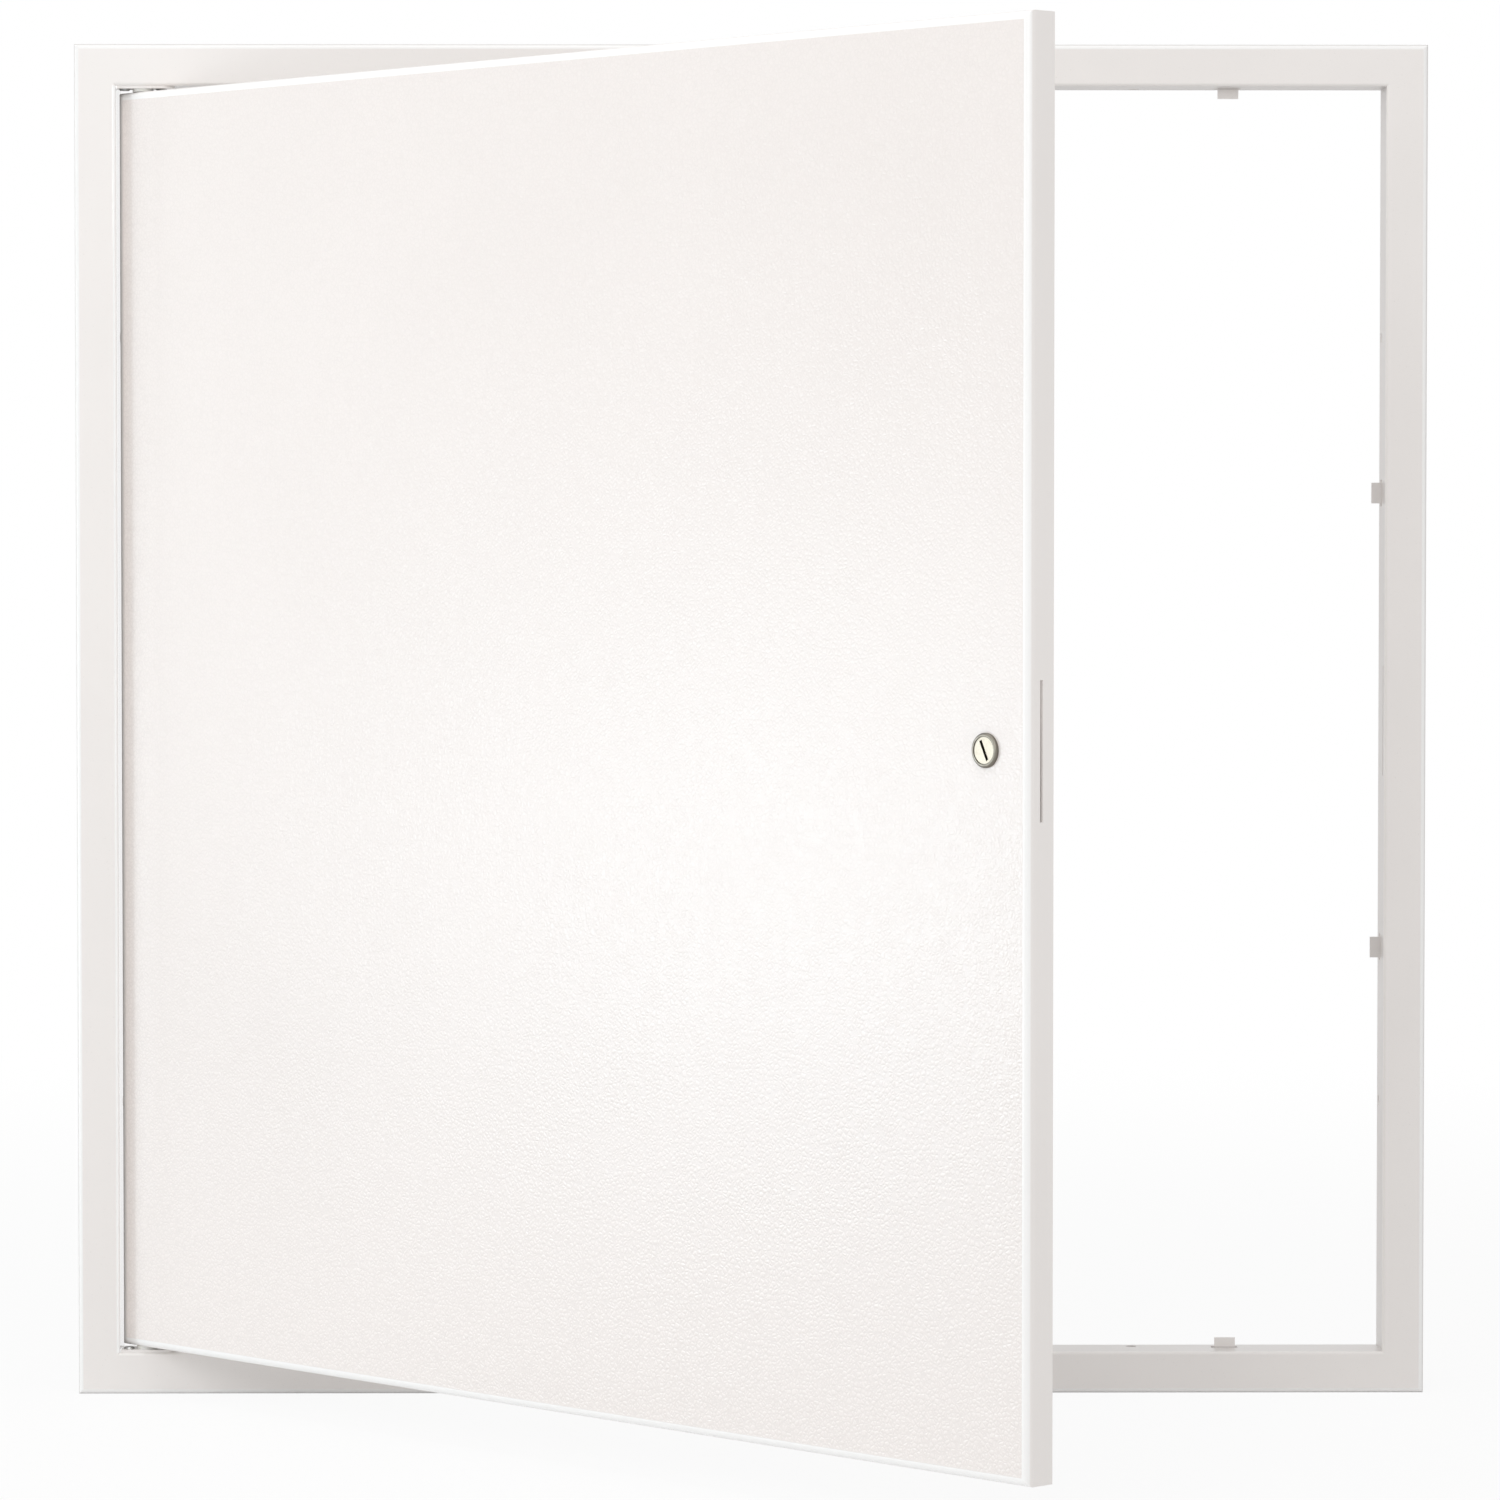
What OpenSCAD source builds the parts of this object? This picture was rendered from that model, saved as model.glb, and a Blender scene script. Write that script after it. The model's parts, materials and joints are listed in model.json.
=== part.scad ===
// Flush access panel for a wall or ceiling: a flanged steel frame and a folded steel door that
// turns on two corner pivots and is held shut by a screwdriver cam latch.
// Millimetres. X is to the right, Y goes into the wall and Z is up. The origin is the middle of
// the opening, on the finished wall surface. The door is drawn shut and then turned open.

/* [Frame] */
// Clear width between the collar walls
opening_w = 610; // [450:1:800]
// Clear height between the collar walls
opening_h = 610; // [560:1:800]
// Flange width, from the collar's inside face to the outer edge
flange_w = 20; // [15:0.5:30]
// Straight edge of the flange's return, behind its bend
flange_lip = 0.7; // [0.5:0.1:2]
// Depth of the collar behind the flange's front face
collar_depth = 26; // [25:0.5:40]
// Thickness of the frame's sheet
frame_t = 1.2; // [1:0.1:1.4]
// Outside radius of the bend from the flange into the collar
collar_bend_r = 1.5; // [1.4:0.1:3]
// Outside radius of the bend at the flange's outer edge
edge_bend_r = 2.5; // [1.4:0.1:3]
// Diameter of the fixing holes in the collar
fixing_d = 5; // [4:0.5:6]
// Distance between the two fixing holes of a side
fixing_pitch = 370; // [300:1:390]
// Distance from the collar's back edge to its fixing holes
fixing_edge = 5.5; // [5:0.5:6]

/* [Door stops] */
// Width of a stop tab
tab_w = 10; // [8:0.5:14]
// Reach of a stop tab into the opening
tab_reach = 5; // [4.5:0.5:6]
// Cut beside each stop tab
tab_relief = 1.4; // [1:0.1:2]
// Distance between the two stop tabs on the latch side
tab_pitch_latch = 220; // [120:1:260]
// Distance between the two stop tabs on the top and on the bottom
tab_pitch_ends = 460; // [410:1:500]

/* [Door] */
// Gap between the door and the collar at the hinge side and the latch side
side_gap = 1.6; // [1.5:0.1:3]
// Gap between the door and the collar at the top and the bottom
end_gap = 3; // [2.5:0.1:4]
// Overall thickness of the folded door
door_depth = 14.5; // [13.5:0.1:15]
// Thickness of the door's sheet
door_t = 1.2; // [1:0.1:1.5]
// Outside radius of the door's front bends
door_bend_r = 3; // [2:0.1:3.5]
// Width of the door's inward lip at the back
door_lip = 9; // [6:0.5:12]
// Angle that the door stands open
door_open = 46.8; // [0:0.1:120]

/* [Pivots] */
// Diameter of both pivot pins
pivot_d = 5; // [4:0.1:5.5]
// Distance from the door's hinge edge to the pivot axis
pivot_inset = 11; // [10:0.1:13]
// Thickness of the pivot plates
plate_t = 1.2; // [1:0.1:1.5]
// Width of the pivot plates, front to back
plate_w = 12; // [11:0.5:13]
// Length of the pivot plates, from the collar's corner to their round ends
plate_len = 28; // [27:0.5:34]
// Diameter of the thrust washer and of the bush's flange
bearing_d = 10; // [9.5:0.1:10.5]
// Shank diameter of the plate rivets
rivet_d = 3; // [2.5:0.1:3.2]
// Head diameter of the plate rivets
rivet_head_d = 5.6; // [5:0.1:6]
// Distance from the pivot axis to the rivets
rivet_offset = 8.8; // [8.5:0.1:9.2]

/* [Release pin] */
// Distance from the top of the door to the pin's guide
guide_drop = 34; // [30:0.5:45]
// Width of the guide bracket
guide_w = 14; // [12:0.5:16]
// Thickness of the guide bracket's sheet
guide_t = 1.5; // [1.2:0.1:2]
// Length of the pin's finger pull
pull_len = 18; // [14:0.5:24]
// Wire thickness of the spring
wire_d = 0.9; // [0.7:0.1:1]
// Turns of the spring
spring_turns = 8; // [6:1:9]

/* [Latch] */
// Distance from the door's free edge to the latch axis
latch_inset = 24.5; // [22:0.5:26]
// Diameter of the latch's round rim
rim_d = 14.5; // [14:0.1:16]
// How far the rim stands out of the door
rim_rise = 1.6; // [1.2:0.1:2.2]
// Diameter of the slotted plug
plug_d = 11.4; // [10.5:0.1:12]
// Diameter of the latch's barrel
barrel_d = 11.5; // [11:0.1:12]
// Width across the barrel's two flats
barrel_flats = 10; // [9.5:0.1:10.4]
// Screwdriver slot: width
slot_w = 1.4; // [1:0.1:1.6]
// Screwdriver slot: length
slot_len = 9; // [8:0.1:9.5]
// Distance from the door's front face to the cam
cam_depth = 6.8; // [6.6:0.1:7.2]
// Length of the cam, from its axis to its tip
cam_len = 36; // [34:0.5:38]
// Width of the cam
cam_w = 10; // [8:0.5:11]
// Thickness of the cam
cam_t = 1; // [0.8:0.1:1.2]
// Angle of the cam below the level position, where it is locked
cam_turn = 64; // [60:1:90]

/* [Hidden] */
$fn = 64;
// Running gap at a turning or sliding fit, on the radius
run_gap = 0.05;
// Gap around a fixed shank, on the radius
shank_gap = 0.1;
// Gap kept between pieces that pass each other
pass_gap = 0.3;
over = 1;

y_front = -(edge_bend_r + flange_lip);
y_back = y_front + collar_depth;
fixing_y = y_back - fixing_edge;

door_w = opening_w - 2 * side_gap;
door_h = opening_h - 2 * end_gap;
y_door_back = y_front + door_depth;

pivot_r = pivot_d / 2;
pivot_x = -door_w / 2 + pivot_inset;
pivot_y = y_front + door_depth / 2;
plate_x = -opening_w / 2;
washer_t = end_gap - plate_t;
bush_flange_t = end_gap - plate_t - pass_gap;
bush_r = pivot_r + 1.5;
bush_lip_t = 0.8;
pin_head_t = 1.2;
rivet_head_t = 0.8;

tab_y = y_door_back + pass_gap;

z_door_in = door_h / 2 - door_t;
z_guide = door_h / 2 - guide_drop;
clip_t = 1.2;
clip_r = door_depth / 2 - door_bend_r - shank_gap;
groove_r = pivot_r - 0.5;
spring_r = pivot_r + 0.6 + wire_d / 2;
spring_h = z_door_in - clip_t - z_guide;

latch_x = door_w / 2 - latch_inset;
y_cam = y_front + cam_depth;
cam_washer_t = 0.4;
y_barrel_end = y_cam - cam_washer_t;
shank_r = 3.5;
rim_round = 1;
plug_recess = 0.3;
plug_head_t = 1.2;
slot_depth = 0.9;
drive_w = 4.6;
screw_r = 1.5;
lock_washer_t = 0.8;
nut_t = 3;
nut_flats = 16;
cam_reach = sqrt(cam_len * cam_len + cam_w * cam_w / 4);
slit_w = cam_t + 2 * pass_gap;
slit_len = 2 * (cam_swing(latch_inset - door_t) + 4 * pass_gap);
strike_w = cam_t + 4 * pass_gap;
strike_len = 2 * (cam_swing(latch_inset + side_gap) + 4 * pass_gap);

// Half the height that the turning cam sweeps at a distance from its axis
function cam_swing(d) = sqrt(cam_reach * cam_reach - d * d);

// Paint and metal colours of the drawing
paint = [0.93, 0.92, 0.91];
grain_paint = [0.96, 0.95, 0.94];
zinc = [0.72, 0.72, 0.70];
nickel = [0.80, 0.78, 0.72];
nylon = [0.95, 0.95, 0.93];

// A quarter of a bent sheet's section, in the corner left of and below the bend's centre
module bend_section(r, t) {
    intersection() {
        difference() {
            circle(r);
            circle(r - t);
        }
        translate([-r, -r])
            square(r);
    }
}

// A cylinder along Y from depth y
module rod_y(y, len, r) {
    translate([0, y, 0])
        rotate([-90, 0, 0])
            cylinder(h = len, r = r);
}

// A box centred on X and Z, from depth y
module slab_y(w, y, len, h) {
    translate([-w / 2, y, -h / 2])
        cube([w, len, h]);
}

// Turns what is drawn on the shut door to the angle that the door stands open
module on_door() {
    translate([pivot_x, pivot_y, 0])
        rotate([0, 0, -door_open])
            translate([-pivot_x, -pivot_y, 0])
                children();
}

// Moves what is drawn around the Y axis to the latch's place on the door
module on_latch() {
    on_door()
        translate([latch_x, 0, 0])
            children();
}

// Turns the latch's moving pieces from level down to where the cam stands
module on_plug() {
    on_latch()
        rotate([0, cam_turn, 0])
            children();
}

// Section of the frame: across is the distance outward from the collar's inside face
module rail_section() {
    translate([collar_bend_r, y_front + collar_bend_r])
        bend_section(collar_bend_r, frame_t);
    translate([0, y_front + collar_bend_r])
        square([frame_t, collar_depth - collar_bend_r]);
    translate([collar_bend_r, y_front])
        square([flange_w - collar_bend_r - edge_bend_r, frame_t]);
    translate([flange_w - edge_bend_r, y_front + edge_bend_r])
        mirror([1, 0])
            bend_section(edge_bend_r, frame_t);
    translate([flange_w - frame_t, y_front + edge_bend_r])
        square([frame_t, flange_lip]);
}

// Corner cuts at 45 degrees for a rail along the side of an opening of this length
module rail_mitre(length) {
    inner = length / 2 - tab_reach - over;
    outer = length / 2 + flange_w + over;
    translate([0, y_back + over, 0])
        rotate([90, 0, 0])
            linear_extrude(collar_depth + 2 * over)
                polygon([
                    [-inner, -tab_reach - over], [inner, -tab_reach - over],
                    [outer, flange_w + over], [-outer, flange_w + over]
                ]);
}

// The three-sided cut that frees a stop tab
module tab_cut(x) {
    cut_w = tab_w + 2 * tab_relief;
    difference() {
        translate([x - cut_w / 2, tab_y, -over])
            cube([cut_w, frame_t + tab_reach, frame_t + 2 * over]);
        translate([x - tab_w / 2, tab_y - over, -2 * over])
            cube([tab_w, frame_t + over, frame_t + 4 * over]);
    }
}

// A rail lying along X, with its collar's inside face at Z = 0 and its flange above
module rail(length, tab_pitch) {
    difference() {
        intersection() {
            rotate([0, -90, 0])
                linear_extrude(length + 2 * flange_w + 2 * over, center = true)
                    rail_section();
            rail_mitre(length);
        }
        for (side = [-1, 1])
            translate([side * fixing_pitch / 2, fixing_y, -over])
                cylinder(h = frame_t + 2 * over, d = fixing_d);
        if (tab_pitch > 0)
            for (side = [-1, 1])
                tab_cut(side * tab_pitch / 2);
    }
    if (tab_pitch > 0)
        for (side = [-1, 1])
            translate([side * tab_pitch / 2 - tab_w / 2, tab_y, -tab_reach])
                cube([tab_w, frame_t, tab_reach]);
}

// Holes along Z for a pivot and its plate's rivets, through the sheet above the opening's edge
module pivot_holes(r, from, to) {
    translate([pivot_x, pivot_y, from])
        cylinder(h = to - from, r = r);
    for (side = [-1, 1])
        translate([pivot_x + side * rivet_offset, pivot_y, from])
            cylinder(h = to - from, d = rivet_d + 2 * shank_gap);
}

module top_side() {
    translate([0, 0, opening_h / 2])
        children();
}

module bottom_side() {
    mirror([0, 0, 1])
        top_side()
            children();
}

module hinge_side() {
    translate([-opening_w / 2, 0, 0])
        rotate([0, -90, 0])
            children();
}

module frame_rail_top() {
    color(paint)
        top_side()
            difference() {
                rail(opening_w, tab_pitch_ends);
                pivot_holes(bush_r + shank_gap, -over, frame_t + over);
            }
}

module frame_rail_bottom() {
    color(paint)
        bottom_side()
            difference() {
                rail(opening_w, tab_pitch_ends);
                pivot_holes(pivot_r + shank_gap, -over, frame_t + over);
            }
}

module frame_rail_hinge() {
    color(paint)
        hinge_side()
            rail(opening_h, 0);
}

// The latch side has a slot that the cam turns into
module frame_rail_latch() {
    color(paint)
        mirror([1, 0, 0])
            hinge_side()
                difference() {
                    rail(opening_h, tab_pitch_latch);
                    translate([-strike_len / 2, y_cam + cam_t / 2 - strike_w / 2, -over])
                        cube([strike_len, strike_w, frame_t + 2 * over]);
                }
}

// A round-ended plate riveted into the collar's corner, drawn at the top
module pivot_plate(hole_r) {
    difference() {
        translate([plate_x, pivot_y, -plate_t]) {
            translate([0, -plate_w / 2, 0])
                cube([plate_len - plate_w / 2, plate_w, plate_t]);
            translate([plate_len - plate_w / 2, 0, 0])
                cylinder(h = plate_t, d = plate_w);
        }
        pivot_holes(hole_r, -plate_t - over, over);
    }
}

module pivot_plate_top() {
    color(paint)
        top_side()
            pivot_plate(bush_r + shank_gap);
}

module pivot_plate_bottom() {
    color(paint)
        bottom_side()
            pivot_plate(pivot_r + shank_gap);
}

// One rivet, with its low head inside the opening and its set end outside the collar
module rivet(x) {
    translate([x, pivot_y, -plate_t]) {
        translate([0, 0, -rivet_head_t])
            cylinder(h = rivet_head_t, d1 = rivet_head_d - 1.2, d2 = rivet_head_d);
        cylinder(h = plate_t + frame_t, d = rivet_d);
        translate([0, 0, plate_t + frame_t])
            cylinder(h = rivet_head_t, d1 = rivet_head_d - 0.8, d2 = rivet_head_d - 1.6);
    }
}

module plate_rivets() {
    color(zinc) {
        top_side()
            for (side = [-1, 1])
                rivet(pivot_x + side * rivet_offset);
        bottom_side()
            for (side = [-1, 1])
                rivet(pivot_x + side * rivet_offset);
    }
}

// A headed pin welded in from below; its rounded tip stands inside the door
module bottom_pivot_pin() {
    tip = 8;
    color(zinc)
        translate([pivot_x, pivot_y, -opening_h / 2 - frame_t]) {
            translate([0, 0, -pin_head_t])
                cylinder(h = pin_head_t, r = pivot_r + 2);
            cylinder(h = frame_t + end_gap + door_t + tip, r = pivot_r);
            translate([0, 0, frame_t + end_gap + door_t + tip])
                cylinder(h = 1, r1 = pivot_r, r2 = pivot_r - 1);
        }
}

// Carries the door's weight on the lower plate
module bottom_thrust_washer() {
    color(nylon)
        translate([pivot_x, pivot_y, -opening_h / 2 + plate_t])
            difference() {
                cylinder(h = washer_t, d = bearing_d);
                translate([0, 0, -over])
                    cylinder(h = washer_t + 2 * over, r = pivot_r + shank_gap);
            }
}

// Snaps through the upper plate and the collar
module top_pivot_bush() {
    wall = plate_t + frame_t;
    color(nylon)
        translate([pivot_x, pivot_y, opening_h / 2 - plate_t])
            difference() {
                union() {
                    translate([0, 0, -bush_flange_t])
                        cylinder(h = bush_flange_t, d = bearing_d);
                    cylinder(h = wall, r = bush_r);
                    translate([0, 0, wall])
                        cylinder(h = bush_lip_t, r1 = bush_r + 0.5, r2 = bush_r - 0.2);
                }
                translate([0, 0, -bush_flange_t - over])
                    cylinder(h = wall + bush_flange_t + bush_lip_t + 2 * over, r = pivot_r + run_gap);
            }
}

// The rounded bend along one front edge, mitred at its ends, drawn along X at the top of the shut door
module door_bend(length, reach) {
    r = door_bend_r;
    translate([0, y_front + r, reach - r])
        intersection() {
            rotate([0, -90, 0])
                linear_extrude(length, center = true)
                    mirror([1, 0])
                        bend_section(r, door_t);
            rotate([90, 0, 0])
                linear_extrude(r)
                    polygon([
                        [-length / 2 + r, 0], [length / 2 - r, 0],
                        [length / 2, r], [-length / 2, r]
                    ]);
        }
}

// A rectangular ring from depth y to the back of the door
module door_ring(y, width) {
    difference() {
        slab_y(door_w, y, y_door_back - y, door_h);
        slab_y(door_w - 2 * width, y - over, y_door_back - y + 2 * over, door_h - 2 * width);
    }
}

// Barrel section with two flats, enlarged by a gap
module barrel(y, len, gap) {
    intersection() {
        rod_y(y, len, barrel_d / 2 + gap);
        slab_y(barrel_flats + 2 * gap, y - over, len + 2 * over, barrel_d + 4);
    }
}

// One folded sheet with welded corners: a face, four rounded front bends, returns and a lip
module door_pan() {
    color(grain_paint)
        on_door()
            difference() {
                union() {
                    slab_y(door_w - 2 * door_bend_r, y_front, door_t, door_h - 2 * door_bend_r);
                    for (turn = [0, 180])
                        rotate([0, turn, 0])
                            door_bend(door_w, door_h / 2);
                    for (turn = [90, 270])
                        rotate([0, turn, 0])
                            door_bend(door_h, door_w / 2);
                    door_ring(y_front + door_bend_r, door_t);
                    door_ring(y_door_back - door_t, door_lip);
                }
                translate([latch_x, 0, 0])
                    barrel(y_front - over, door_t + 2 * over, 2 * shank_gap);
                translate([door_w / 2 - door_t - over, y_cam + cam_t / 2 - slit_w / 2, -slit_len / 2])
                    cube([door_t + 2 * over, slit_w, slit_len]);
                for (side = [0, 1])
                    mirror([0, 0, side])
                        translate([pivot_x, pivot_y, z_door_in - over])
                            cylinder(h = door_t + 2 * over, r = pivot_r + run_gap);
            }
}

// An angle on the back of the door's face that guides the release pin
module top_pin_bracket() {
    leg = door_depth - door_t - guide_t - over;
    color(zinc)
        on_door()
            difference() {
                translate([pivot_x - guide_w / 2, y_front + door_t, z_guide - guide_w]) {
                    cube([guide_w, guide_t, guide_w]);
                    translate([0, 0, guide_w - guide_t])
                        cube([guide_w, leg, guide_t]);
                }
                translate([pivot_x, pivot_y, z_guide - guide_t - over])
                    cylinder(h = guide_t + 2 * over, r = pivot_r + run_gap);
            }
}

// A bent rod: it is pulled down by its foot to free the top of the door
module top_pivot_pin() {
    foot_z = z_guide - guide_t - 2 - pivot_r;
    top_z = opening_h / 2 + frame_t;
    color(zinc)
        on_door()
            translate([pivot_x, pivot_y, 0]) {
                difference() {
                    union() {
                        translate([0, 0, foot_z])
                            cylinder(h = top_z - foot_z, r = pivot_r);
                        translate([0, 0, top_z])
                            cylinder(h = 1, r1 = pivot_r, r2 = pivot_r - 1);
                    }
                    translate([0, 0, z_door_in - clip_t])
                        difference() {
                            cylinder(h = clip_t, r = pivot_r + over);
                            translate([0, 0, -over])
                                cylinder(h = clip_t + 2 * over, r = groove_r);
                        }
                }
                translate([0, 0, foot_z]) {
                    sphere(r = pivot_r);
                    rotate([0, 90, 0])
                        cylinder(h = pull_len, r = pivot_r);
                }
            }
}

// Snaps into the pin's groove: the spring pushes on it, and it stops under the door's top
module top_pin_clip() {
    color(zinc)
        on_door()
            translate([pivot_x, pivot_y, z_door_in - clip_t])
                difference() {
                    cylinder(h = clip_t, r = clip_r);
                    translate([0, 0, -over])
                        cylinder(h = clip_t + 2 * over, r = groove_r + shank_gap);
                    translate([-clip_r - over, -groove_r + 0.6, -over])
                        cube([clip_r + over, 2 * groove_r - 1.2, clip_t + 2 * over]);
                }
}

// Height of the spring's wire after a number of turns, with one closed turn at each end
function coil_z(turn) =
    let (closed = 1.15 * wire_d, rise = spring_h - wire_d - 2 * closed)
    turn < 1 ? closed * turn
    : turn > spring_turns - 1 ? spring_h - wire_d - closed * (spring_turns - turn)
    : closed + rise * (turn - 1) / (spring_turns - 2);

module top_pin_spring() {
    steps = 20;
    sides = 8;
    rings = steps * spring_turns;
    points = [
        for (i = [0 : rings], j = [0 : sides - 1])
            let (a = 360 * i / steps, b = 360 * j / sides, r = spring_r + wire_d / 2 * cos(b))
            [r * cos(a), r * sin(a), wire_d / 2 + coil_z(i / steps) + wire_d / 2 * sin(b)]
    ];
    walls = [
        for (i = [0 : rings - 1], j = [0 : sides - 1], half = [0, 1])
            let (k = (j + 1) % sides, p = i * sides, q = p + sides)
            half == 0 ? [p + j, p + k, q + k] : [p + j, q + k, q + j]
    ];
    first = [[for (j = [sides - 1 : -1 : 0]) j]];
    last = [[for (j = [0 : sides - 1]) rings * sides + j]];
    color(zinc)
        on_door()
            translate([pivot_x, pivot_y, z_guide])
                polyhedron(points, concat(walls, first, last));
}

// Half section of the latch's rim, with a rounded outer shoulder
module rim_section() {
    square([rim_d / 2, rim_rise - rim_round]);
    square([rim_d / 2 - rim_round, rim_rise]);
    intersection() {
        translate([rim_d / 2 - rim_round, rim_rise - rim_round])
            circle(rim_round);
        square([rim_d / 2, rim_rise]);
    }
}

// Round rim on the door's face, and a barrel with two flats through it
module latch_housing() {
    color(nickel)
        on_latch()
            difference() {
                union() {
                    translate([0, y_front, 0])
                        rotate([90, 0, 0])
                            rotate_extrude()
                                rim_section();
                    barrel(y_front, y_barrel_end - y_front, 0);
                }
                rod_y(y_front - rim_rise - over, plug_recess + plug_head_t + over, plug_d / 2 + run_gap);
                rod_y(y_front - over, cam_depth + 2 * over, shank_r + run_gap);
            }
}

module latch_lock_washer() {
    color(zinc)
        on_latch()
            difference() {
                rod_y(y_front + door_t, lock_washer_t, nut_flats / 2 + 0.5);
                barrel(y_front + door_t - over, lock_washer_t + 2 * over, 2 * shank_gap);
            }
}

module latch_nut() {
    y_nut = y_front + door_t + lock_washer_t;
    color(zinc)
        on_latch()
            difference() {
                translate([0, y_nut, 0])
                    rotate([-90, 0, 0])
                        cylinder(h = nut_t, d = nut_flats / cos(30), $fn = 6);
                rod_y(y_nut - over, nut_t + 2 * over, barrel_d / 2 + shank_gap);
            }
}

// Slotted head, round shank and square drive; the slot is in line with the cam
module latch_plug() {
    y_head = y_front - rim_rise + plug_recess;
    color(nickel)
        on_plug()
            difference() {
                union() {
                    rod_y(y_head, plug_head_t, plug_d / 2);
                    rod_y(y_head + plug_head_t, y_cam - y_head - plug_head_t, shank_r);
                    slab_y(drive_w, y_cam, cam_t, drive_w);
                }
                slab_y(slot_len, y_head - over, slot_depth + over, slot_w);
                rod_y(y_cam - 3, cam_t + 3 + over, screw_r + shank_gap);
            }
}

module cam_washer() {
    color(nylon)
        on_plug()
            difference() {
                rod_y(y_barrel_end, cam_washer_t, barrel_flats / 2 + 0.5);
                rod_y(y_barrel_end - over, cam_washer_t + 2 * over, shank_r + shank_gap);
            }
}

// A flat blade with a round end on the plug's square
module latch_cam() {
    color(zinc)
        on_plug()
            difference() {
                union() {
                    rod_y(y_cam, cam_t, cam_w / 2 + 1);
                    translate([0, y_cam, -cam_w / 2])
                        cube([cam_len, cam_t, cam_w]);
                }
                slab_y(drive_w + 2 * shank_gap, y_cam - over, cam_t + 2 * over, drive_w + 2 * shank_gap);
            }
}

module cam_screw() {
    y_head = y_cam + cam_t;
    head_t = 2;
    color(zinc)
        on_plug()
            difference() {
                union() {
                    rod_y(y_head - cam_t - 2.5, cam_t + 2.5, screw_r);
                    rod_y(y_head, 0.8, drive_w);
                    translate([0, y_head + 0.8, 0])
                        rotate([-90, 0, 0])
                            cylinder(h = head_t, r1 = drive_w - 1, r2 = drive_w - 1.6);
                }
                for (turn = [0, 90])
                    rotate([0, turn, 0])
                        slab_y(3.6, y_head + 1.6, head_t, 0.8);
            }
}

frame_rail_top();
frame_rail_bottom();
frame_rail_hinge();
frame_rail_latch();
pivot_plate_top();
pivot_plate_bottom();
plate_rivets();
bottom_pivot_pin();
bottom_thrust_washer();
top_pivot_bush();
door_pan();
top_pin_bracket();
top_pivot_pin();
top_pin_clip();
top_pin_spring();
latch_housing();
latch_lock_washer();
latch_nut();
latch_plug();
cam_washer();
latch_cam();
cam_screw();
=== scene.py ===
import json
import math

import bpy
from mathutils import Matrix, Vector


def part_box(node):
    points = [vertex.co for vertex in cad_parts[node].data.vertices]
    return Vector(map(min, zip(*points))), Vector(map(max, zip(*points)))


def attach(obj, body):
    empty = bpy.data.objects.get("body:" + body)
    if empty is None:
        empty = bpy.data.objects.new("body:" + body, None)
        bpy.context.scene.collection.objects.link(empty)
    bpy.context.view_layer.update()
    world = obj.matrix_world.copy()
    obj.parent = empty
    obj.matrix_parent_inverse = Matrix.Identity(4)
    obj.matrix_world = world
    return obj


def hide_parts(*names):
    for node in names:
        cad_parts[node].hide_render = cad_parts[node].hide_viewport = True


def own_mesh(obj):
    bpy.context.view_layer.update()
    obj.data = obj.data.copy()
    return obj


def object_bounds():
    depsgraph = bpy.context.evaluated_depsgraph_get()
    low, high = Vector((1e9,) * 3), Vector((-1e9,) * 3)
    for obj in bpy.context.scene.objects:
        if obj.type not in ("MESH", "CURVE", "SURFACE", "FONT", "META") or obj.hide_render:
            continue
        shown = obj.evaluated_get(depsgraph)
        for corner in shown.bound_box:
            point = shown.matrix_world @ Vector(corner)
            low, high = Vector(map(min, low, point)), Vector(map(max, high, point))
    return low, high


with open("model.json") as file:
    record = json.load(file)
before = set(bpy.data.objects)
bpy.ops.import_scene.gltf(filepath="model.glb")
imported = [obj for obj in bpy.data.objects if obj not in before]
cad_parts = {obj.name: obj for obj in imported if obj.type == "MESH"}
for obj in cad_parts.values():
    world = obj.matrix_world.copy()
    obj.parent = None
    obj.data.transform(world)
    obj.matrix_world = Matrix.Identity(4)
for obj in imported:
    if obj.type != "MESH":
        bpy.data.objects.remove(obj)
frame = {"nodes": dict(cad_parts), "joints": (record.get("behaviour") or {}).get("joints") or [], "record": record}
cad_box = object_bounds()

MM = 0.001
nodes = frame["nodes"]
joints = {joint["name"]: joint for joint in frame["joints"]}

# Camera: the photograph's place and direction, for a square image
CAMERA_AT = Vector((-0.0206, -2.8326, 0.0816))
CAMERA_YAW = math.radians(0.402)
CAMERA_PITCH = math.radians(1.931)
LENS_MM = 141.1
SENSOR_MM = 36.0
CLIP_END = 100.0

# The door's pivot, and the turn about it that shuts the door
PIVOT = Vector(joints["door_swing"]["pos_m"])
SHUT_ANGLE = math.radians(joints["door_swing"]["range_deg"][1])
SHUT = Matrix.Translation(PIVOT) @ Matrix.Rotation(SHUT_ANGLE, 4, "Z") @ Matrix.Translation(-PIVOT)


def corners(node, turn):
    """Lowest and highest corners of a node's box after a turn."""
    points = [turn @ vertex.co for vertex in nodes[node].data.vertices]
    low = Vector([min(point[axis] for point in points) for axis in range(3)])
    high = Vector([max(point[axis] for point in points) for axis in range(3)])
    return low, high


# Edges of the frame and its opening, and of the door and latch with the door shut
RAIL_LOW, RAIL_HIGH = corners("frame_rail_hinge", Matrix.Identity(4))
FRAME_HALF = -RAIL_LOW.x
OPENING_HALF = -RAIL_HIGH.x
FRAME_FRONT = RAIL_LOW.y
DOOR_LOW, DOOR_HIGH = corners("door_pan", SHUT)
DOOR_FRONT = DOOR_LOW.y
LATCH_SHUT = SHUT @ Vector(joints["latch_turn"]["pos_m"])

# The range that holds most of a noise's values, and the usual width of a mask's edge
NOISE_LOW, NOISE_HIGH = 0.3, 0.7
FADE = 0.4 * MM


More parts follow.
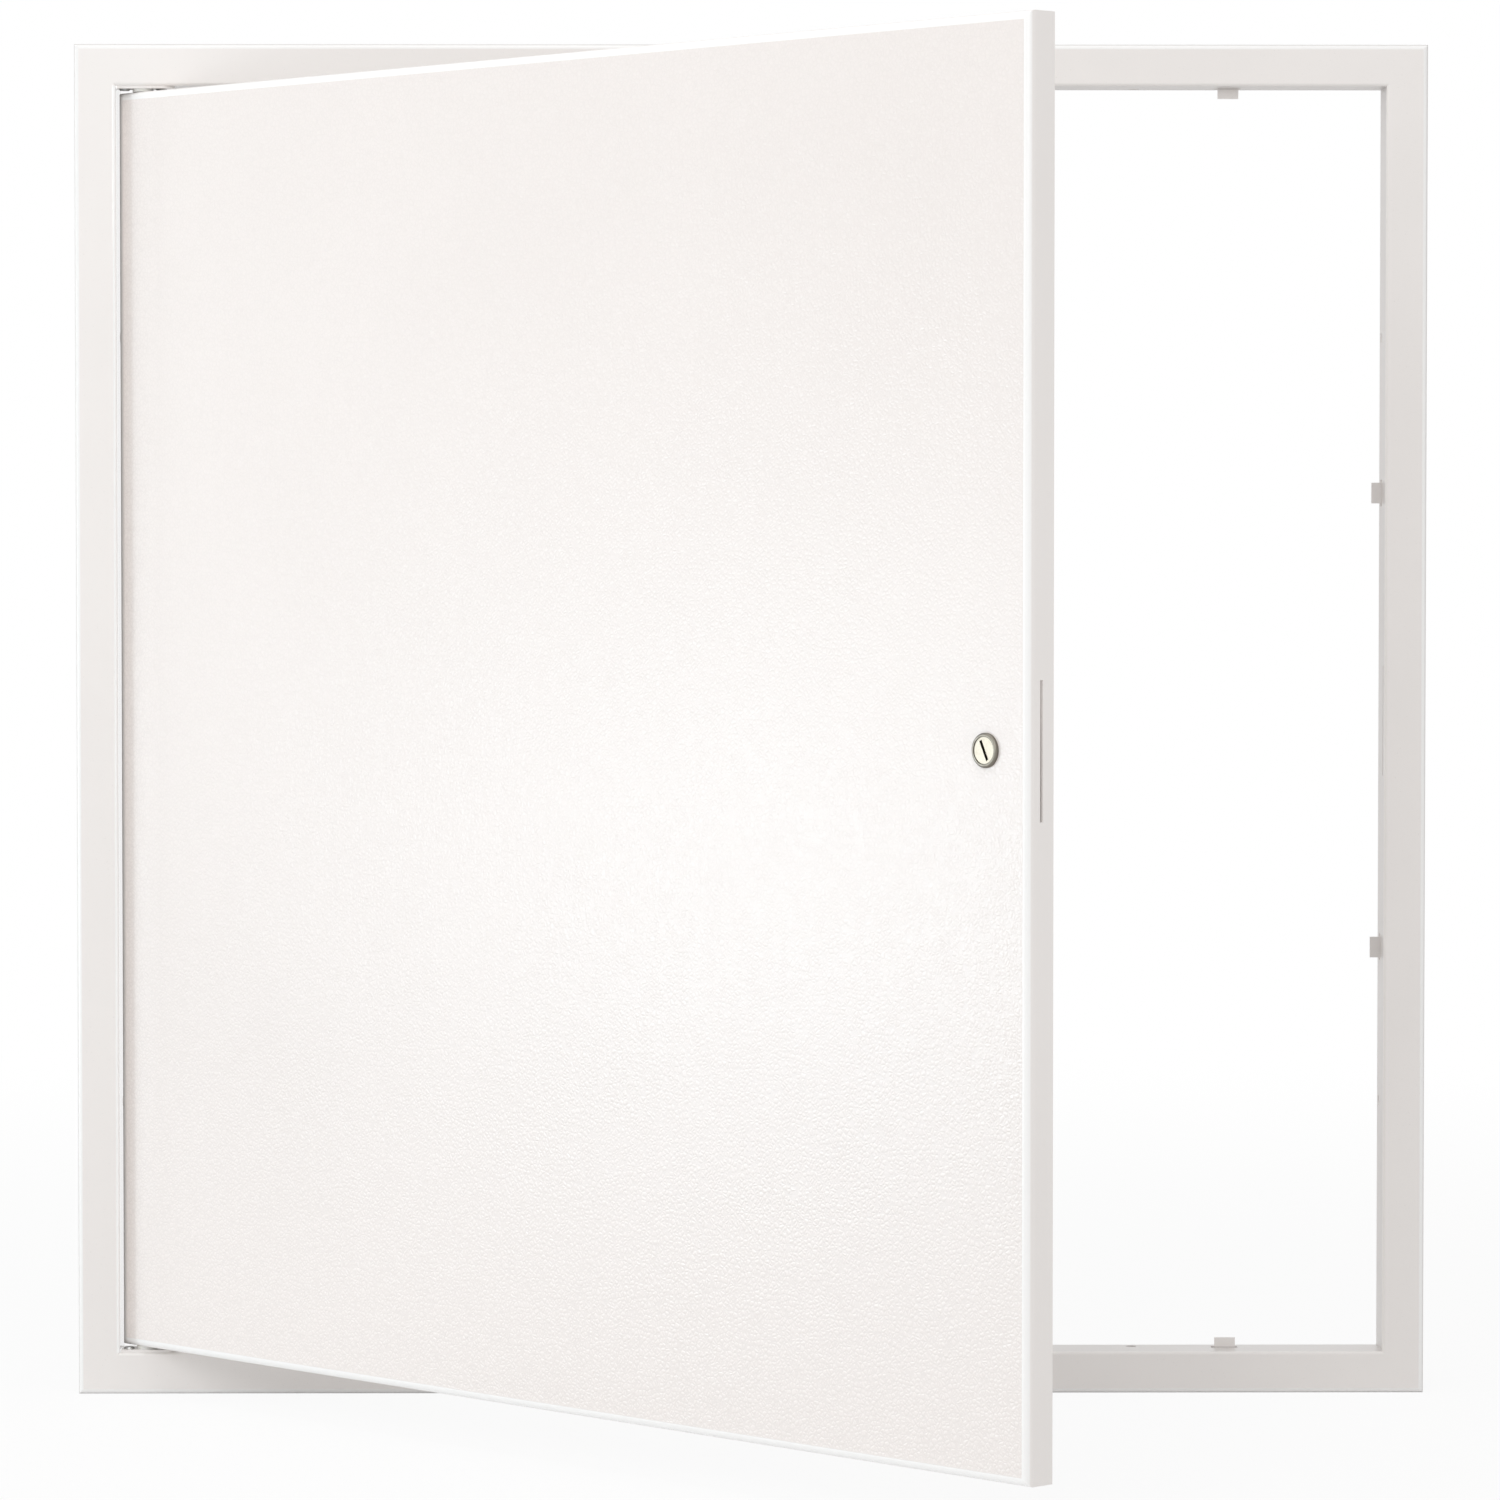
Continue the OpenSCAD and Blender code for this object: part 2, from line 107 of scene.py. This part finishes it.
class Finish:
    """A material with short calls for its nodes. A mask is a number from 0 to 1."""

    def __init__(self, name):
        self.material = bpy.data.materials.new(name)
        self.material.use_nodes = True
        self.tree = self.material.node_tree
        self.shader = self.tree.nodes["Principled BSDF"]
        self.output = self.tree.nodes["Material Output"]

    def add(self, kind, **settings):
        node = self.tree.nodes.new("ShaderNode" + kind)
        for key, value in settings.items():
            setattr(node, key, value)
        return node

    def feed(self, socket, value):
        if isinstance(value, bpy.types.NodeSocket):
            self.tree.links.new(value, socket)
        else:
            socket.default_value = value

    def set(self, **sockets):
        for name, value in sockets.items():
            self.feed(self.shader.inputs[name.replace("_", " ")], value)

    def place(self):
        """The point on the object, in metres, moving with the object."""
        return self.add("TexCoord").outputs["Object"]

    def shut_place(self):
        """The point on the object as if the door were shut."""
        turn = self.add("VectorRotate", rotation_type="Z_AXIS")
        self.feed(turn.inputs["Vector"], self.place())
        turn.inputs["Center"].default_value = PIVOT
        turn.inputs["Angle"].default_value = SHUT_ANGLE
        return turn.outputs["Vector"]

    def split(self, vector):
        node = self.add("SeparateXYZ")
        self.feed(node.inputs[0], vector)
        return node.outputs["X"], node.outputs["Y"], node.outputs["Z"]

    def stretch(self, vector, scale):
        node = self.add("VectorMath", operation="MULTIPLY")
        self.feed(node.inputs[0], vector)
        node.inputs[1].default_value = scale
        return node.outputs["Vector"]

    def noise(self, vector, size, detail=3.0, roughness=0.5):
        """Noise with features of about this size in metres, from 0 to 1."""
        node = self.add("TexNoise")
        self.feed(node.inputs["Vector"], vector)
        node.inputs["Scale"].default_value = 1 / size
        node.inputs["Detail"].default_value = detail
        node.inputs["Roughness"].default_value = roughness
        return node.outputs["Fac"]

    def math(self, operation, a, b=0.0, clamp=False):
        node = self.add("Math", operation=operation, use_clamp=clamp)
        self.feed(node.inputs[0], a)
        self.feed(node.inputs[1], b)
        return node.outputs[0]

    def product(self, first, *others):
        for other in others:
            first = self.math("MULTIPLY", first, other)
        return first

    def invert(self, mask):
        return self.math("SUBTRACT", 1.0, mask)

    def wave(self, value, pitch):
        """A sine wave that repeats after each pitch."""
        return self.math("SINE", self.math("MULTIPLY", value, 2 * math.pi / pitch))

    def span(self, value, low, high, to_low=0.0, to_high=1.0, smooth=False):
        """Maps low..high to to_low..to_high, held at both ends."""
        node = self.add("MapRange", interpolation_type="SMOOTHSTEP" if smooth else "LINEAR")
        self.feed(node.inputs["Value"], value)
        ends = {"From Min": low, "From Max": high, "To Min": to_low, "To Max": to_high}
        for name, number in ends.items():
            node.inputs[name].default_value = number
        return node.outputs["Result"]

    def vary(self, noise, to_low=0.0, to_high=1.0):
        """Spreads a noise over to_low..to_high."""
        return self.span(noise, NOISE_LOW, NOISE_HIGH, to_low, to_high)

    def above(self, value, limit, fade=FADE):
        """A mask that is 0 up to the limit and 1 after the fade beyond it."""
        return self.span(value, limit, limit + fade)

    def below(self, value, limit, fade=FADE):
        """A mask that is 1 up to the limit and 0 after the fade beyond it."""
        return self.span(value, limit, limit + fade, 1.0, 0.0)

    def blend(self, factor, a, b):
        node = self.add("Mix", data_type="RGBA")
        self.feed(node.inputs["Factor"], factor)
        self.feed(node.inputs["A"], a)
        self.feed(node.inputs["B"], b)
        return node.outputs["Result"]

    def layers(self, tone, *coats):
        """Lays each colour over the ones before it, where its mask says."""
        for mask, shade in coats:
            tone = self.blend(mask, tone, shade)
        return tone

    def bump(self, height, depth, strength=1.0, under=None):
        """A bump of this depth in metres, laid over another one if given."""
        node = self.add("Bump")
        self.feed(node.inputs["Height"], height)
        node.inputs["Distance"].default_value = depth
        node.inputs["Strength"].default_value = strength
        if under is not None:
            self.feed(node.inputs["Normal"], under)
        return node.outputs["Normal"]


def color(red, green, blue):
    return (red, green, blue, 1.0)


def orange_peel(f, place):
    """The fine unevenness of a sprayed coat."""
    return f.bump(f.noise(place, 1.6 * MM, 2.0), 0.04 * MM, 0.6)


def powder_coat():
    """Smooth white powder coat, uneven in gloss, and glossiest on the collar beside the hinge. Its colour holds
    painted light: painted shade on the collars' inner faces and the outermost brink, and painted highlights on the
    outer rolled edge and on the bend beside the hinge.
    """
    f = Finish("powder_coat")
    place = f.place()
    across, depth, up = f.split(place)
    height = f.math("ABSOLUTE", up)
    out = f.math("MAXIMUM", f.math("ABSOLUTE", across), height)
    # Painted highlight: the outer rolled edge is lightened.
    edge = f.above(out, FRAME_HALF - 2.6 * MM, 0.6 * MM)
    # Painted shade: the outermost brink of the frame is darkened.
    brink_painted_shade = f.above(out, FRAME_HALF - 0.8 * MM)
    behind = f.above(depth, FRAME_FRONT + 1.4 * MM, 0.6 * MM)
    hinge_side = f.below(across, -OPENING_HALF + 0.2 * MM)
    inner_face = f.above(across, -OPENING_HALF - 0.6 * MM, 0.3 * MM)
    hinge_collar = f.product(hinge_side, behind, inner_face)
    # Painted highlight: the bend from flange to collar beside the hinge is lightened.
    in_bend = f.above(across, -OPENING_HALF - 1.6 * MM)
    between_ends = f.below(height, OPENING_HALF - 0.2 * MM)
    hinge_bend_painted_light = f.product(in_bend, hinge_side, between_ends, f.invert(behind))
    # Painted shade: the collars' inner faces are darkened, except beside the hinge.
    within = f.below(out, OPENING_HALF + 0.3 * MM)
    collar = f.product(within, f.math("SUBTRACT", behind, hinge_collar, clamp=True))
    inset = f.below(out, OPENING_HALF - 0.9 * MM)
    end_tabs = f.product(inset, f.above(height, OPENING_HALF - 55 * MM, 10 * MM))
    specks = f.span(f.noise(place, 0.7 * MM, 1.0), 0.72, 0.78, 0.0, 0.25)
    drift = f.noise(place, 120 * MM, 4.0)
    tone = f.layers(
        f.blend(f.vary(drift), color(0.882, 0.848, 0.824), color(0.918, 0.883, 0.858)),
        (collar, color(0.725, 0.695, 0.675)),
        (end_tabs, color(0.900, 0.866, 0.842)),
        (edge, color(0.950, 0.940, 0.930)),
        (hinge_bend_painted_light, color(0.990, 0.985, 0.980)),
        (brink_painted_shade, color(0.760, 0.740, 0.720)),
        (specks, color(0.62, 0.60, 0.57)),
    )
    f.set(
        Base_Color=tone,
        Roughness=f.product(f.vary(drift, 0.30, 0.40), f.span(hinge_collar, 0.0, 1.0, 1.0, 0.2)),
        Coat_Weight=f.math("MAXIMUM", hinge_collar, hinge_bend_painted_light),
        Coat_Roughness=0.04,
        Coat_IOR=2.4,
        Normal=orange_peel(f, place),
    )
    return f.material


def leather_grain(f, place):
    """Height of a leather grain: rounded cells with wavering edges, and wrinkles."""
    wander_size, wander = 2.5 * MM, 1.2 * MM
    cells_per_metre = 480.0
    cell_round = 0.35
    shift = f.add("TexNoise")
    f.feed(shift.inputs["Vector"], place)
    shift.inputs["Scale"].default_value = 1 / wander_size
    shifted = f.add("VectorMath", operation="MULTIPLY_ADD")
    f.feed(shifted.inputs[0], shift.outputs["Color"])
    shifted.inputs[1].default_value = (wander, wander, wander)
    f.feed(shifted.inputs[2], place)
    cells = f.add("TexVoronoi", feature="DISTANCE_TO_EDGE")
    f.feed(cells.inputs["Vector"], shifted.outputs[0])
    cells.inputs["Scale"].default_value = cells_per_metre
    pebbles = f.span(cells.outputs["Distance"], 0.0, cell_round, 0.0, 0.7, smooth=True)
    wrinkles = f.product(f.noise(place, 3.5 * MM, 3.0, 0.6), 0.6)
    return f.math("ADD", pebbles, wrinkles)


def grain_coat():
    """White coat with a leather grain on the door's face and a smooth finish on its folded edges. Its colour holds
    painted light: the folded edges are whiter partly as a painted highlight, the face is lightened near the hinge
    and low down, and painted shade darkens the hinge-side bend and the grain's valleys.
    """
    f = Finish("grain_coat")
    place = f.shut_place()
    across, depth, up = f.split(place)
    middle = (DOOR_LOW + DOOR_HIGH) / 2
    half = (DOOR_HIGH - DOOR_LOW) / 2
    margin = 3.8 * MM
    inside_x = f.below(f.math("ABSOLUTE", f.math("SUBTRACT", across, middle.x)), half.x - margin)
    inside_z = f.below(f.math("ABSOLUTE", f.math("SUBTRACT", up, middle.z)), half.z - margin)
    inside = f.product(inside_x, inside_z)
    front = f.below(depth, DOOR_FRONT + 0.3 * MM, 0.3 * MM)
    bend = f.below(depth, DOOR_FRONT + 1.2 * MM, 0.6 * MM)
    face = f.product(inside, front)
    # The folded edges are whiter: partly their smooth paint, partly a painted highlight.
    rim = f.product(f.invert(inside), bend)
    from_hinge = f.math("SUBTRACT", across, DOOR_LOW.x)
    # Painted light: the face near the hinge is lightened against the shade the frame casts there.
    near_hinge_painted_light = f.below(from_hinge, 6 * MM, 26 * MM)
    # Painted shade: a dark line along the hinge-side bend.
    hinge_bend_painted_light = f.product(f.below(from_hinge, 1.6 * MM, 3.4 * MM), bend)
    # Painted light: the face is lightened low down.
    low_down_painted_light = f.below(up, -280 * MM, 140 * MM)
    drift = f.noise(place, 150 * MM, 4.0)
    worn = f.vary(drift)
    grain = leather_grain(f, place)
    # Painted shade in the grain's valleys.
    valley_painted_shade = f.product(f.span(grain, 0.2, 0.6, 0.35, 0.0), face)
    face_tone = f.layers(
        f.blend(worn, color(0.839, 0.787, 0.757), color(0.862, 0.810, 0.780)),
        (low_down_painted_light, color(0.900, 0.846, 0.815)),
        (near_hinge_painted_light, color(0.955, 0.904, 0.874)),
    )
    tone = f.layers(
        f.blend(worn, color(0.860, 0.822, 0.796), color(0.884, 0.846, 0.820)),
        (front, face_tone),
        (rim, color(0.975, 0.970, 0.960)),
        (hinge_bend_painted_light, color(0.480, 0.465, 0.450)),
        (valley_painted_shade, color(0.765, 0.718, 0.690)),
    )
    f.set(
        Base_Color=tone,
        Roughness=f.vary(drift, 0.285, 0.315),
        IOR=1.65,
        Normal=f.bump(f.product(grain, face), 0.14 * MM, 0.6, orange_peel(f, place)),
    )
    return f.material


def zinc_plate():
    """Bright zinc plating, mottled and slightly scuffed."""
    f = Finish("zinc_plate")
    place = f.place()
    mottle = f.noise(place, 4 * MM, 5.0, 0.6)
    scuff = f.noise(f.stretch(place, (1.0, 1.0, 0.08)), 0.9 * MM, 3.0)
    f.set(
        Base_Color=f.blend(f.vary(mottle), color(0.30, 0.31, 0.33), color(0.52, 0.52, 0.50)),
        Metallic=1.0,
        Roughness=f.vary(scuff, 0.29, 0.46),
        Normal=f.bump(scuff, 0.02 * MM, 0.5),
    )
    return f.material


def spring_wire():
    """Drawn spring steel, darker than the plating, with fine lines."""
    f = Finish("spring_wire")
    place = f.place()
    oil = f.noise(place, 3 * MM, 4.0)
    lines = f.noise(f.stretch(place, (1.0, 1.0, 6.0)), 0.8 * MM, 2.0)
    f.set(
        Base_Color=f.blend(oil, color(0.30, 0.30, 0.31), color(0.46, 0.46, 0.47)),
        Metallic=1.0,
        Roughness=f.vary(lines, 0.25, 0.42),
        Normal=f.bump(lines, 0.01 * MM, 0.5),
    )
    return f.material


def nickel_plate():
    """Warm nickel with turned rings round the latch axis and a threaded barrel behind the door. Painted shade
    darkens the slot and the hinge side of the ring's shoulder.
    """
    plug_radius, shoulder_radius = 5.75 * MM, 6.2 * MM
    ring_pitch, thread_pitch = 0.5 * MM, 1.0 * MM
    f = Finish("nickel_plate")
    place = f.shut_place()
    across, depth, up = f.split(place)
    from_axis = f.math("SUBTRACT", across, LATCH_SHUT.x)
    radius = f.math("SQRT", f.math("ADD", f.math("POWER", from_axis, 2.0), f.math("POWER", up, 2.0)))
    before = f.below(depth, DOOR_FRONT, 0.5 * MM)
    behind = f.above(depth, DOOR_FRONT + 1.0 * MM, 0.2 * MM)
    plug = f.below(radius, plug_radius - 0.1 * MM, 0.15 * MM)
    rim = f.product(f.invert(plug), before)
    shoulder = f.above(radius, shoulder_radius, 1.0 * MM)
    # Painted shade: the ring's shoulder is darker on the hinge side.
    near_hinge_painted_light = f.below(from_axis, -3 * MM, 5 * MM)
    off_seam = f.math("ABSOLUTE", f.math("SUBTRACT", radius, plug_radius))
    seam = f.product(f.span(off_seam, 0.1 * MM, 0.35 * MM, 0.8, 0.0), before)
    sunk = f.above(depth, DOOR_FRONT - 1.2 * MM, 0.45 * MM)
    # Painted shade: the slot is darkened in its depth.
    slot_painted_shade = f.product(sunk, before, plug, 0.95)
    wear = f.noise(place, 2.5 * MM, 5.0, 0.65)
    shoulder_tone = f.blend(near_hinge_painted_light, color(0.21, 0.195, 0.165), color(0.095, 0.088, 0.088))
    tone = f.layers(
        f.blend(f.vary(wear), color(0.405, 0.366, 0.298), color(0.578, 0.528, 0.447)),
        (rim, f.blend(shoulder, color(0.30, 0.280, 0.240), shoulder_tone)),
        (seam, color(0.08, 0.07, 0.055)),
        (slot_painted_shade, color(0.02, 0.018, 0.015)),
    )
    turned = f.bump(f.product(f.wave(radius, ring_pitch), wear), 0.006 * MM, 0.5)
    f.set(
        Base_Color=tone,
        Metallic=1.0,
        Roughness=f.vary(wear, 0.34, 0.48),
        Normal=f.bump(f.product(f.wave(depth, thread_pitch), behind), 0.4 * MM, 0.8, turned),
    )
    return f.material


def nylon():
    """Moulded natural nylon, slightly see-through."""
    f = Finish("nylon")
    place = f.place()
    cloud = f.noise(place, 5 * MM, 3.0)
    grain = f.noise(place, 0.6 * MM, 2.0)
    f.set(
        Base_Color=f.blend(cloud, color(0.80, 0.80, 0.76), color(0.88, 0.88, 0.85)),
        Roughness=f.vary(cloud, 0.35, 0.50),
        Normal=f.bump(grain, 0.03 * MM, 0.5),
        Subsurface_Weight=0.15,
        Subsurface_Radius=(2.0 * MM, 2.0 * MM, 1.5 * MM),
    )
    return f.material


def dress_nodes():
    """Gives every CAD node the finish of its material slot."""
    finishes = {
        "frame_paint": powder_coat(),
        "door_paint": grain_coat(),
        "zinc_steel": zinc_plate(),
        "spring_steel": spring_wire(),
        "nickel": nickel_plate(),
        "nylon": nylon(),
    }
    for part in frame["record"]["subparts"]:
        slots = nodes[part["node"]].data.materials
        for index in range(len(slots)):
            slots[index] = finishes[part["material_slot"]]


def coil_height(turn, turns, wire, length):
    """Height of the wire's centre after a number of turns, with one closed turn at each end."""
    closed = 1.15 * wire
    top = length - wire / 2
    if turn < 1:
        return wire / 2 + closed * turn
    if turn > turns - 1:
        return top - closed * (turns - turn)
    return wire / 2 + closed + (length - wire - 2 * closed) * (turn - 1) / (turns - 2)


def build_spring():
    """The release pin's round-wire spring, built as one fixed coil; the real spring shortens as the pin is pulled
    down.
    """
    turns, wire = 8, 0.9 * MM
    steps, sides = 32, 12
    low, high = (Vector(corner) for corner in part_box("top_pin_spring"))
    middle = (low + high) / 2
    length = high.z - low.z
    radius = (high.x - low.x - wire) / 2
    rings = steps * turns
    points, faces = [], []
    for i in range(rings + 1):
        around = 2 * math.pi * i / steps - SHUT_ANGLE
        height = low.z + coil_height(i / steps, turns, wire, length)
        for j in range(sides):
            part = 2 * math.pi * j / sides
            reach = radius + wire / 2 * math.cos(part)
            points.append((
                middle.x + reach * math.cos(around),
                middle.y + reach * math.sin(around),
                height + wire / 2 * math.sin(part),
            ))
    for i in range(rings):
        for j in range(sides):
            a, b = i * sides + j, i * sides + (j + 1) % sides
            faces.append((a, a + sides, b + sides, b))
    faces.append(tuple(range(sides)))
    faces.append(tuple(rings * sides + j for j in reversed(range(sides))))
    mesh = bpy.data.meshes.new("release_spring")
    mesh.from_pydata(points, [], faces)
    mesh.shade_smooth()
    mesh.materials.append(nodes["top_pin_spring"].data.materials[0])
    spring = bpy.data.objects.new("release_spring", mesh)
    bpy.context.scene.collection.objects.link(spring)
    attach(spring, "door")
    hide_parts("top_pin_spring")
    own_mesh(spring)


def seen_directly(f):
    """1 for rays from the camera and for what gloss and glass show of the background."""
    path = f.add("LightPath")
    seen = f.math("MAXIMUM", path.outputs["Is Camera Ray"], path.outputs["Is Glossy Ray"])
    return f.math("MAXIMUM", seen, path.outputs["Is Transmission Ray"])


def build_floor():
    """A pale studio floor that shows white and keeps a soft shadow near the object."""
    reach = 20.0
    shadow_end, white_start = 0.4, 2.0
    level = cad_box[0][2]
    mesh = bpy.data.meshes.new("floor")
    signs = ((-1, -1), (1, -1), (1, 1), (-1, 1))
    mesh.from_pydata([(x * reach, y * reach, level) for x, y in signs], [], [(0, 1, 2, 3)])
    floor = bpy.data.objects.new("floor", mesh)
    bpy.context.scene.collection.objects.link(floor)
    f = Finish("floor")
    f.set(Base_Color=color(0.86, 0.86, 0.86), Roughness=0.9, Specular_IOR_Level=0.0)
    glow = f.add("Emission")
    mix = f.add("MixShader")
    distance = f.add("VectorMath", operation="LENGTH")
    f.feed(distance.inputs[0], f.place())
    whiteness = f.span(distance.outputs["Value"], shadow_end, white_start, 0.90, 1.0, smooth=True)
    f.feed(mix.inputs[0], f.product(seen_directly(f), whiteness))
    f.feed(mix.inputs[1], f.shader.outputs[0])
    f.feed(mix.inputs[2], glow.outputs[0])
    f.feed(f.output.inputs["Surface"], mix.outputs[0])
    mesh.materials.append(f.material)


def build_world():
    """An even white surround: plain light on the object, and white where it is seen."""
    ambient = 0.555
    world = bpy.data.worlds.new("studio")
    world.use_nodes = True
    bpy.context.scene.world = world
    tree = world.node_tree
    path = tree.nodes.new("ShaderNodeLightPath")
    camera_or_gloss = tree.nodes.new("ShaderNodeMath")
    camera_or_gloss.operation = "MAXIMUM"
    seen = tree.nodes.new("ShaderNodeMath")
    seen.operation = "MAXIMUM"
    strength = tree.nodes.new("ShaderNodeMapRange")
    strength.inputs["To Min"].default_value = ambient
    tree.links.new(path.outputs["Is Camera Ray"], camera_or_gloss.inputs[0])
    tree.links.new(path.outputs["Is Glossy Ray"], camera_or_gloss.inputs[1])
    tree.links.new(camera_or_gloss.outputs[0], seen.inputs[0])
    tree.links.new(path.outputs["Is Transmission Ray"], seen.inputs[1])
    tree.links.new(seen.outputs[0], strength.inputs["Value"])
    background = tree.nodes["Background"]
    background.inputs["Color"].default_value = color(1.0, 1.0, 1.0)
    tree.links.new(strength.outputs["Result"], background.inputs["Strength"])


def aimed(place, direction):
    """The pose of a lamp or camera at this place that looks this way."""
    return Matrix.Translation(place) @ direction.to_track_quat("-Z", "Y").to_matrix().to_4x4()


def add_softbox(name, place, target, size, watts, tint=(1.0, 1.0, 1.0)):
    lamp = bpy.data.lights.new(name, "AREA")
    lamp.shape = "RECTANGLE"
    lamp.size, lamp.size_y = size
    lamp.energy = watts
    lamp.color = tint
    box = bpy.data.objects.new(name, lamp)
    bpy.context.scene.collection.objects.link(box)
    box.matrix_world = aimed(place, Vector(target) - Vector(place))


def build_lights():
    """Five softboxes. The small left one makes the soft highlight on the door's face."""
    cool = (0.80, 0.93, 1.0)
    add_softbox("key_softbox", (-0.5, -1.9, 0.8), (0.0, -0.1, 0.0), (1.0, 1.0), 8.6)
    add_softbox("top_softbox", (-0.15, -0.5, 1.7), (0.0, -0.2, 0.0), (1.2, 1.2), 8.0)
    add_softbox("side_softbox", (-2.2, 0.3, 0.0), (0.0, -0.1, 0.0), (1.6, 1.6), 8.0)
    add_softbox("left_softbox", (-1.6, -0.317, -0.157), (0.05, -0.33, -0.06), (0.32, 0.32), 2.9, cool)
    add_softbox("right_softbox", (1.6, -0.8, 0.1), (0.1, -0.2, 0.0), (0.9, 1.1), 2.4)


def build_camera():
    data = bpy.data.cameras.new("camera")
    data.sensor_width = SENSOR_MM
    data.lens = LENS_MM
    data.clip_end = CLIP_END
    camera = bpy.data.objects.new("camera", data)
    bpy.context.scene.collection.objects.link(camera)
    forward = Vector((
        math.sin(CAMERA_YAW) * math.cos(CAMERA_PITCH),
        math.cos(CAMERA_YAW) * math.cos(CAMERA_PITCH),
        -math.sin(CAMERA_PITCH),
    ))
    camera.matrix_world = aimed(CAMERA_AT, forward)
    bpy.context.scene.camera = camera


build_camera()
dress_nodes()
build_spring()
build_floor()
build_world()
build_lights()
bpy.context.scene.view_settings.view_transform = "Standard"
